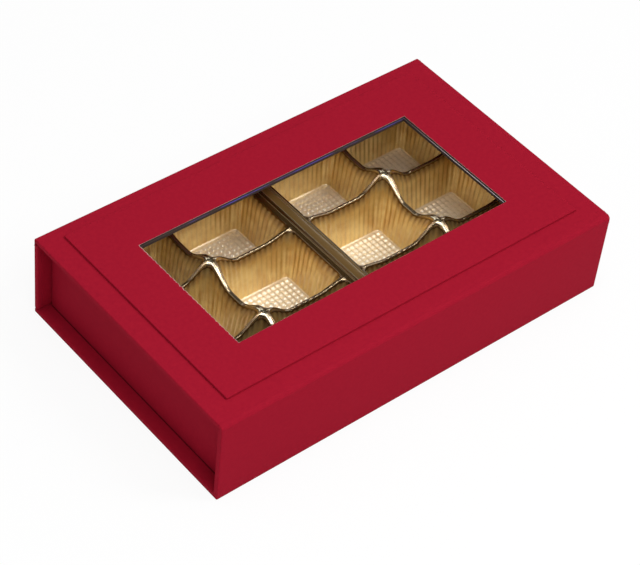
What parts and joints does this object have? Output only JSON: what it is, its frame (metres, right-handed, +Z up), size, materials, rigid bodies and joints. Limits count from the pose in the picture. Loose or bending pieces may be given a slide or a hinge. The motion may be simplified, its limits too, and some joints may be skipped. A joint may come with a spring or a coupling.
{
  "type": "magnetic rigid gift box",
  "caption": "Book-style rigid gift box with a hinged window lid, a magnetic front flap, a set-up tray and a formed insert of sweet cavities.",
  "frame": {"origin": "centre of the box's footprint, on the surface it rests on", "axes": "+X along the long side, +Y from the spine towards the flap, +Z up"},
  "size_m": [0.19, 0.115, 0.0399],
  "materials": {
    "crimson_paper": "matte crimson cover paper",
    "greyboard": "raw grey board",
    "clear_film": "clear glossy film",
    "gold_plastic": "metallised gold sheet, glossy",
    "plated_magnet": "bright plated",
    "steel_disc": "plain stamped steel",
    "stay_tape": "brown gummed paper tape"
  },
  "bodies": {
    "base": {"base_board": "greyboard", "candy_insert": "gold_plastic", "case_wrap_base": "crimson_paper", "catch_disc_left": "steel_disc", "catch_disc_right": "steel_disc", "corner_stay_back_left": "stay_tape", "corner_stay_back_right": "stay_tape", "corner_stay_front_left": "stay_tape", "corner_stay_front_right": "stay_tape", "spine_board": "greyboard", "spine_lining": "crimson_paper", "tray_back_board": "greyboard", "tray_floor_board": "greyboard", "tray_front_board": "greyboard", "tray_left_board": "greyboard", "tray_lining": "crimson_paper", "tray_right_board": "greyboard", "tray_wrap": "crimson_paper"},
    "lid": {"lid_board": "greyboard", "panel_board": "greyboard", "case_wrap_lid": "crimson_paper", "window_film": "clear_film", "lid_lining": "crimson_paper"},
    "flap": {"case_wrap_flap": "crimson_paper", "flap_board": "greyboard", "flap_lining": "crimson_paper", "flap_magnet_left": "plated_magnet", "flap_magnet_right": "plated_magnet"}
  },
  "joints": [
    {"name": "lid_fold", "type": "hinge", "parent": "base", "child": "lid", "pos_m": [0, -0.05694, 0.03844], "axis": [1, 0, 0], "range_deg": [0, 180]},
    {"name": "flap_fold", "type": "hinge", "parent": "lid", "child": "flap", "pos_m": [0, 0.05721, 0.03871], "axis": [1, 0, 0], "range_deg": [0, 180]}
  ]
}
